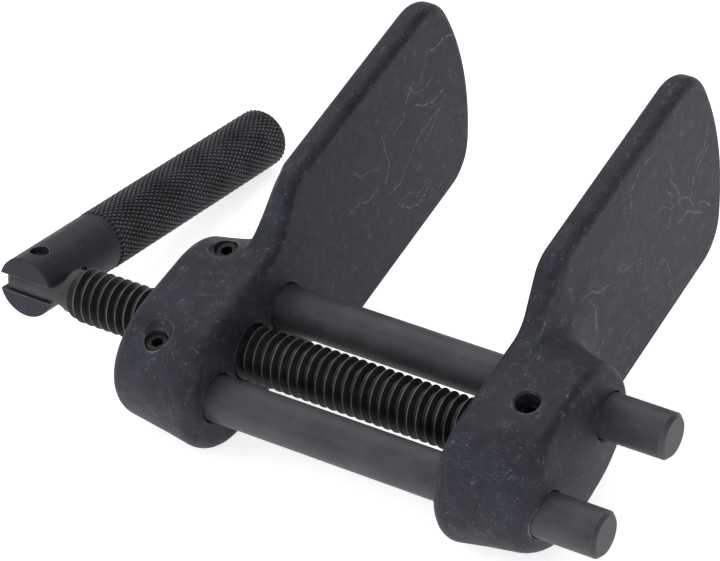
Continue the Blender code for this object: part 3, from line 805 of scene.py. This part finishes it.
class Shader:
    """Short ways to add and join the nodes of one material."""

    def __init__(self, name):
        self.material = bpy.data.materials.new(name)
        self.material.use_nodes = True
        self.tree = self.material.node_tree
        self.surface = self.tree.nodes["Principled BSDF"]
        self.point = self.add("ShaderNodeAttribute", attribute_name=OWN_PLACE).outputs["Vector"]

    def add(self, kind, **settings):
        made = self.tree.nodes.new(kind)
        for key, value in settings.items():
            setattr(made, key, value)
        return made

    def feed(self, socket, value):
        if isinstance(value, bpy.types.NodeSocket):
            self.tree.links.new(value, socket)
        else:
            socket.default_value = value

    def noise(self, size, detail=3.0, roughness=0.5, stretch=None, distortion=0.0):
        """Noise whose features are about size metres across, from 0 to 1."""
        where = self.point
        if stretch is not None:
            scaled = self.add("ShaderNodeMapping")
            scaled.inputs["Scale"].default_value = stretch
            self.feed(scaled.inputs["Vector"], self.point)
            where = scaled.outputs["Vector"]
        made = self.add("ShaderNodeTexNoise")
        self.feed(made.inputs["Vector"], where)
        made.inputs["Scale"].default_value = 1.0 / size
        made.inputs["Detail"].default_value = detail
        made.inputs["Roughness"].default_value = roughness
        made.inputs["Distortion"].default_value = distortion
        return made.outputs["Fac"]

    def math(self, operation, one, two=None, three=None):
        made = self.add("ShaderNodeMath", operation=operation)
        for index, value in enumerate((one, two, three)):
            if value is not None:
                self.feed(made.inputs[index], value)
        return made.outputs[0]

    def ramp(self, value, low, high, start=0.0, end=1.0):
        """A smooth change from start to end while value goes from low to high."""
        made = self.add("ShaderNodeMapRange", interpolation_type="SMOOTHSTEP")
        self.feed(made.inputs["Value"], value)
        made.inputs["From Min"].default_value = low
        made.inputs["From Max"].default_value = high
        made.inputs["To Min"].default_value = start
        made.inputs["To Max"].default_value = end
        return made.outputs["Result"]

    def mix(self, share, one, two):
        made = self.add("ShaderNodeMix", data_type="RGBA")
        self.feed(made.inputs["Factor"], share)
        for socket, value in ((made.inputs[6], one), (made.inputs[7], two)):
            self.feed(socket, value if isinstance(value, bpy.types.NodeSocket) else (*value, 1.0))
        return made.outputs[2]

    def edges(self, radius, low, high):
        """1 on edges and corners, 0 on open faces."""
        geometry = self.add("ShaderNodeNewGeometry")
        bevel = self.add("ShaderNodeBevel", samples=6)
        bevel.inputs["Radius"].default_value = radius
        dot = self.add("ShaderNodeVectorMath", operation="DOT_PRODUCT")
        self.feed(dot.inputs[0], geometry.outputs["Normal"])
        self.feed(dot.inputs[1], bevel.outputs["Normal"])
        return self.ramp(dot.outputs["Value"], high, low)

    def bump(self, height, strength, distance, under=None):
        made = self.add("ShaderNodeBump")
        made.inputs["Strength"].default_value = strength
        made.inputs["Distance"].default_value = distance
        self.feed(made.inputs["Height"], height)
        if under is not None:
            self.feed(made.inputs["Normal"], under)
        return made.outputs["Normal"]


def shade(colour, amount):
    return tuple(value * amount for value in colour)


def segment_group():
    """Node group: 1 near the line from Start to End, within Width, and 0 away from it."""
    tree = bpy.data.node_groups.new("scratch_line", "ShaderNodeTree")
    for label in ("Point", "Start", "End"):
        tree.interface.new_socket(label, in_out="INPUT", socket_type="NodeSocketVector")
    tree.interface.new_socket("Width", in_out="INPUT", socket_type="NodeSocketFloat")
    tree.interface.new_socket("Mask", in_out="OUTPUT", socket_type="NodeSocketFloat")
    entry = tree.nodes.new("NodeGroupInput")
    leave = tree.nodes.new("NodeGroupOutput")

    def vector(operation, one, two, scale=None):
        made = tree.nodes.new("ShaderNodeVectorMath")
        made.operation = operation
        tree.links.new(one, made.inputs[0])
        if two is not None:
            tree.links.new(two, made.inputs[1])
        if scale is not None:
            tree.links.new(scale, made.inputs["Scale"])
        return made.outputs["Value" if operation in ("DOT_PRODUCT", "LENGTH") else "Vector"]

    offset = vector("SUBTRACT", entry.outputs["Point"], entry.outputs["Start"])
    length = vector("SUBTRACT", entry.outputs["End"], entry.outputs["Start"])
    share = tree.nodes.new("ShaderNodeMath")
    share.operation = "DIVIDE"
    share.use_clamp = True
    tree.links.new(vector("DOT_PRODUCT", offset, length), share.inputs[0])
    tree.links.new(vector("DOT_PRODUCT", length, length), share.inputs[1])
    away = vector("SUBTRACT", offset, vector("SCALE", length, None, share.outputs[0]))
    fall = tree.nodes.new("ShaderNodeMapRange")
    fall.interpolation_type = "SMOOTHSTEP"
    tree.links.new(vector("LENGTH", away, None), fall.inputs["Value"])
    fall.inputs["From Min"].default_value = 0.0
    tree.links.new(entry.outputs["Width"], fall.inputs["From Max"])
    fall.inputs["To Min"].default_value = 1.0
    fall.inputs["To Max"].default_value = 0.0
    tree.links.new(fall.outputs["Result"], leave.inputs["Mask"])
    return tree


def scratches(shader, group, lines):
    """Light wavering marks across a blade; lines are as blade_scuffs gives them."""
    wander = shader.add("ShaderNodeTexNoise")
    wander.inputs["Scale"].default_value = 1.0 / SCUFF_WAVE_LENGTH
    shader.feed(wander.inputs["Vector"], shader.point)
    shift = shader.add("ShaderNodeVectorMath", operation="MULTIPLY_ADD")
    shader.feed(shift.inputs[0], wander.outputs["Color"])
    shift.inputs[1].default_value = (0.0, SCUFF_WAVER, SCUFF_WAVER)
    shader.feed(shift.inputs[2], shader.point)
    centred = shader.add("ShaderNodeVectorMath", operation="SUBTRACT")
    shader.feed(centred.inputs[0], shift.outputs["Vector"])
    centred.inputs[1].default_value = (0.0, SCUFF_WAVER / 2, SCUFF_WAVER / 2)
    flat = shader.add("ShaderNodeVectorMath", operation="MULTIPLY")
    shader.feed(flat.inputs[0], centred.outputs["Vector"])
    flat.inputs[1].default_value = (0.0, 1.0, 1.0)
    total = None
    for strength, width, points in lines:
        for start, end in zip(points, points[1:]):
            line = shader.add("ShaderNodeGroup", node_tree=group)
            shader.feed(line.inputs["Point"], flat.outputs["Vector"])
            line.inputs["Start"].default_value = (0.0, *start)
            line.inputs["End"].default_value = (0.0, *end)
            line.inputs["Width"].default_value = width
            mask = shader.math("MULTIPLY", line.outputs["Mask"], strength)
            total = mask if total is None else shader.math("MAXIMUM", total, mask)
    broken = shader.ramp(shader.noise(1.0 * MM, 3.0, 0.6), 0.42, 0.56, 0.05, 1.0)
    return shader.math("MULTIPLY", total, broken)


def forged_steel(name, marks):
    """Matte black oxide over a shot-blasted forging, worn bright on its sharp edges, with a painted
    highlight that lightens its broad rounded edges.
    """
    shader = Shader(name)
    base = FORGED_COLOUR
    clouds = shader.noise(16 * MM, 4.0, 0.6)
    patches = shader.noise(3.2 * MM, 5.0, 0.65)
    grain = shader.noise(0.5 * MM, 3.0, 0.65)
    colour = shader.mix(shader.ramp(clouds, 0.38, 0.62), shade(base, 0.80), shade(base, 1.20))
    colour = shader.mix(shader.ramp(patches, 0.47, 0.66, 0.0, 0.6), colour, shade(base, 1.6))
    colour = shader.mix(shader.ramp(grain, 0.38, 0.58, 0.5, 0.0), colour, shade(base, 0.5))
    edge = shader.math("MULTIPLY", shader.edges(0.7 * MM, 0.90, 0.995), shader.ramp(patches, 0.40, 0.62))
    # Painted highlight: the broad rounded edges of the jaws are lightened where light falls on them,
    # broken up by the clouds
    uneven = shader.ramp(clouds, 0.35, 0.65, 0.5, 0.9)
    painted_band_highlight = shader.math("MULTIPLY", shader.edges(3.0 * MM, 0.80, 0.97), uneven)
    colour = shader.mix(painted_band_highlight, colour, shade(base, 1.6))
    dots = shader.ramp(shader.noise(0.9 * MM, 2.5, 0.6), 0.675, 0.745)
    crowding = shader.ramp(shader.noise(11 * MM, 2.0, 0.5), 0.40, 0.62, 0.15, 1.0)
    dots = shader.math("MULTIPLY", dots, crowding)
    hairs = shader.noise(0.6 * MM, 2.0, 0.5, stretch=(1.0, 0.25, 1.0), distortion=2.0)
    patchy = shader.ramp(patches, 0.45, 0.60, 0.0, 0.6)
    hairs = shader.math("MULTIPLY", shader.ramp(hairs, 0.62, 0.70), patchy)
    wear_and_painted_highlight = shader.math("MAXIMUM", shader.math("MULTIPLY", edge, 0.75), shader.math("MULTIPLY", dots, 0.65))
    wear_and_painted_highlight = shader.math("MAXIMUM", wear_and_painted_highlight, hairs)
    wear_and_painted_highlight = shader.math("MAXIMUM", wear_and_painted_highlight, scratches(shader, segment_group(), marks))
    colour = shader.mix(wear_and_painted_highlight, colour, (0.23, 0.23, 0.235))
    shader.feed(shader.surface.inputs["Base Color"], colour)
    broad = shader.ramp(clouds, 0.3, 0.7, 0.50, 0.60)
    fine = shader.ramp(grain, 0.3, 0.7, -0.04, 0.05)
    shader.feed(shader.surface.inputs["Roughness"], shader.math("ADD", broad, fine))
    shader.surface.inputs["Specular IOR Level"].default_value = 0.13
    under = shader.bump(patches, 0.35, 0.15 * MM)
    shader.feed(shader.surface.inputs["Normal"], shader.bump(grain, 0.35, 0.06 * MM, under))
    return shader.material


def radius_of(shader):
    """Distance from the piece's own X axis."""
    split = shader.add("ShaderNodeSeparateXYZ")
    shader.feed(split.inputs[0], shader.point)
    squares = shader.math("MULTIPLY", split.outputs["Y"], split.outputs["Y"])
    squares = shader.math("MULTIPLY_ADD", split.outputs["Z"], split.outputs["Z"], squares)
    return shader.math("SQRT", squares)


def turned_steel(name, base, roughness, worn_colour, wear, gloss=0.25, crest=None):
    """Black oxide over turned steel: fine rings round the axis, worn on edges and on any crest."""
    shader = Shader(name)
    clouds = shader.noise(9 * MM, 4.0, 0.55)
    rings = shader.noise(0.5 * MM, 2.0, 0.5, stretch=(1.0, 0.05, 0.05))
    streaks = shader.noise(1.2 * MM, 3.0, 0.6, stretch=(0.06, 1.0, 1.0))
    grain = shader.noise(0.5 * MM, 3.0, 0.65)
    colour = shader.mix(shader.ramp(clouds, 0.32, 0.68), shade(base, 0.80), shade(base, 1.22))
    colour = shader.mix(shader.ramp(streaks, 0.55, 0.8, 0.0, 0.4), colour, shade(base, 1.7))
    colour = shader.mix(shader.ramp(grain, 0.30, 0.55, 0.3, 0.0), colour, shade(base, 0.5))
    uneven = shader.ramp(clouds, 0.25, 0.6, 0.4, 1.0)
    edge = shader.math("MULTIPLY", shader.edges(0.35 * MM, 0.88, 0.995), uneven)
    dots = shader.math("MULTIPLY", shader.ramp(shader.noise(0.8 * MM, 2.0, 0.5), 0.71, 0.77), 0.7)
    wear_and_painted_highlight = shader.math("MAXIMUM", edge, dots)
    if crest is not None:
        on_crest = shader.ramp(radius_of(shader), crest - 0.20 * MM, crest - 0.02 * MM)
        on_crest = shader.math("MULTIPLY", on_crest, shader.ramp(clouds, 0.3, 0.7, 0.5, 1.0))
        wear_and_painted_highlight = shader.math("MAXIMUM", wear_and_painted_highlight, on_crest)
    wear_and_painted_highlight = shader.math("MULTIPLY", wear_and_painted_highlight, wear)
    colour = shader.mix(wear_and_painted_highlight, colour, worn_colour)
    shader.feed(shader.surface.inputs["Base Color"], colour)
    uneven_gloss = shader.ramp(clouds, 0.3, 0.7, roughness - 0.05, roughness + 0.06)
    shader.feed(shader.surface.inputs["Roughness"], uneven_gloss)
    shader.surface.inputs["Specular IOR Level"].default_value = gloss
    shader.feed(shader.surface.inputs["Normal"], shader.bump(rings, 0.16, 0.04 * MM))
    return shader.material


def thread_steel(name):
    """Oiled black thread whose crests carry a painted highlight, lightened to stand in for light catching
    the crest flats.
    """
    shader = Shader(name)
    clouds = shader.noise(6 * MM, 4.0, 0.6)
    # Painted highlight: the crests at the thread's full radius are lightened, standing in for light
    # catching the crest flats
    crest = shader.ramp(radius_of(shader), THREAD_RADIUS - 0.16 * MM, THREAD_RADIUS - 0.03 * MM)
    wear_and_painted_highlight = shader.math("MULTIPLY", crest, shader.ramp(clouds, 0.35, 0.62, 0.30, 1.0))
    colour = shader.mix(shader.ramp(clouds, 0.3, 0.7), (0.009, 0.009, 0.009), (0.018, 0.0175, 0.017))
    colour = shader.mix(wear_and_painted_highlight, colour, (0.135, 0.13, 0.122))
    shader.feed(shader.surface.inputs["Base Color"], colour)
    shader.feed(shader.surface.inputs["Roughness"], shader.ramp(clouds, 0.3, 0.7, 0.42, 0.55))
    shader.surface.inputs["Specular IOR Level"].default_value = 0.22
    shader.feed(shader.surface.inputs["Normal"], shader.bump(clouds, 0.1, 0.05 * MM))
    return shader.material


def blade_scuffs(seed):
    """Bent scuffs over a blade, closer toward its tip: each is (strength, half width, points (y, z))."""
    chance = random.Random(seed)
    lines = []
    for number in range(SCUFF_COUNT):
        y = SCUFFS_START + SCUFFS_REACH * math.sqrt(chance.random())
        z = chance.uniform(*SCUFFS_HEIGHT)
        heading = chance.uniform(0, 2 * math.pi)
        points = [(y, z)]
        for turn in range(SCUFF_PARTS):
            heading += chance.uniform(-SCUFF_BEND, SCUFF_BEND)
            y += SCUFF_STEP * math.cos(heading)
            z += SCUFF_STEP * math.sin(heading)
            points.append((y, z))
        lines.append((chance.uniform(0.35, 0.9), chance.uniform(0.26, 0.45) * MM, points))
    return lines


# ---------------------------------------------------------------- stage

FLOOR_SIZE = 6.0
WORLD_STRENGTH = 0.71
WORLD_COLOUR = (0.95, 0.97, 1.0, 1.0)
DARK_CORNER = (0.72, 0.37, 0.50)
DARK_CORNER_EDGE = math.radians(35.0)
DARK_CORNER_CORE = math.radians(10.0)
DARK_CORNER_SHARE = 0.12
FLOOR_COLOUR = (0.82, 0.82, 0.82, 1.0)
FLOOR_GLOW = 0.75
KEY_PLACE = (-0.5, 0.6, 1.3)
KEY_SIZE = (1.3, 1.0)
KEY_POWER = 9.0
FILL_PLACE = (-0.7, -0.8, 0.9)
FILL_SIZE = (0.8, 0.8)
FILL_POWER = 3.0
CAMERA_LENS = 176.6
CAMERA_SENSOR = 36.0
CAMERA_PLACE = (432.7 * MM, -421.4 * MM, 644.9 * MM)
CAMERA_ANGLES = (42.653, 10.743, 31.401)


def build_floor():
    half = FLOOR_SIZE / 2
    corners = [(-half, -half, 0.0), (half, -half, 0.0), (half, half, 0.0), (-half, half, 0.0)]
    mesh = bpy.data.meshes.new("floor")
    mesh.from_pydata(corners, [], [(0, 1, 2, 3)])
    floor = bpy.data.objects.new("floor", mesh)
    bpy.context.scene.collection.objects.link(floor)
    material = bpy.data.materials.new("pale_floor")
    material.use_nodes = True
    surface = material.node_tree.nodes["Principled BSDF"]
    surface.inputs["Base Color"].default_value = FLOOR_COLOUR
    surface.inputs["Roughness"].default_value = 0.9
    surface.inputs["Specular IOR Level"].default_value = 0.2
    surface.inputs["Emission Color"].default_value = (1.0, 1.0, 1.0, 1.0)
    surface.inputs["Emission Strength"].default_value = FLOOR_GLOW
    mesh.materials.append(material)


def area_light(name, place, size, power):
    """A rectangular light that points at the world's origin."""
    data = bpy.data.lights.new(name, "AREA")
    data.shape = "RECTANGLE"
    data.size, data.size_y = size
    data.energy = power
    light = bpy.data.objects.new(name, data)
    light.location = place
    light.rotation_euler = (-Vector(place)).to_track_quat("-Z", "Y").to_euler()
    bpy.context.scene.collection.objects.link(light)


def build_world():
    """An even pale studio with one darker corner, which draws the rounded edges of the jaws."""
    world = bpy.data.worlds.new("studio")
    bpy.context.scene.world = world
    world.use_nodes = True
    tree = world.node_tree
    direction = tree.nodes.new("ShaderNodeTexCoord").outputs["Generated"]
    toward = tree.nodes.new("ShaderNodeVectorMath")
    toward.operation = "DOT_PRODUCT"
    toward.inputs[1].default_value = Vector(DARK_CORNER).normalized()
    tree.links.new(direction, toward.inputs[0])
    fall = tree.nodes.new("ShaderNodeMapRange")
    fall.interpolation_type = "SMOOTHSTEP"
    fall.inputs["From Min"].default_value = math.cos(DARK_CORNER_EDGE)
    fall.inputs["From Max"].default_value = math.cos(DARK_CORNER_CORE)
    fall.inputs["To Min"].default_value = WORLD_STRENGTH
    fall.inputs["To Max"].default_value = WORLD_STRENGTH * DARK_CORNER_SHARE
    tree.links.new(toward.outputs["Value"], fall.inputs["Value"])
    background = tree.nodes["Background"]
    background.inputs["Color"].default_value = WORLD_COLOUR
    tree.links.new(fall.outputs["Result"], background.inputs["Strength"])


def build_camera():
    data = bpy.data.cameras.new("camera")
    data.lens = CAMERA_LENS
    data.sensor_width = CAMERA_SENSOR
    data.clip_start = 0.05
    data.clip_end = 20.0
    camera = bpy.data.objects.new("camera", data)
    turn = Euler([math.radians(angle) for angle in CAMERA_ANGLES]).to_matrix().to_4x4()
    camera.matrix_world = TOOL @ Matrix.Translation(CAMERA_PLACE) @ turn
    bpy.context.scene.collection.objects.link(camera)
    bpy.context.scene.camera = camera


def build():
    bpy.context.scene.view_settings.view_transform = "Standard"
    fixed_forging = forged_steel("fixed_jaw_oxide", blade_scuffs(FIXED_SCUFFS_SEED))
    sliding_forging = forged_steel("sliding_jaw_oxide", blade_scuffs(SLIDING_SCUFFS_SEED))
    rod = turned_steel("rod_oxide", (0.053, 0.0525, 0.0585), 0.50, (0.22, 0.21, 0.20), 0.5)
    handle = turned_steel("handle_oxide", (0.028, 0.0288, 0.036), 0.50, (0.23, 0.23, 0.24), 0.8, 0.15)
    tongue = turned_steel("tongue_oxide", (0.040, 0.040, 0.043), 0.50, (0.20, 0.20, 0.20), 0.6)
    knurl_crest = (0.135, 0.135, 0.145)
    knurl_base = (0.0135, 0.0138, 0.0165)
    knurl = turned_steel("knurl_oxide", knurl_base, 0.50, knurl_crest, 0.95, crest=KNURL_RADIUS)
    fastener = turned_steel("fastener_oxide", (0.008, 0.008, 0.008), 0.45, (0.09, 0.088, 0.085), 0.6, 0.15)
    build_fixed_jaw(fixed_forging)
    build_sliding_jaw(sliding_forging)
    build_rods(rod)
    build_grub_screws(fastener)
    build_lead_screw(thread_steel("thread_oxide"), tongue)
    build_handle(handle, knurl, fastener)
    build_floor()
    build_world()
    area_light("key", KEY_PLACE, KEY_SIZE, KEY_POWER)
    area_light("fill", FILL_PLACE, FILL_SIZE, FILL_POWER)
    build_camera()


build()
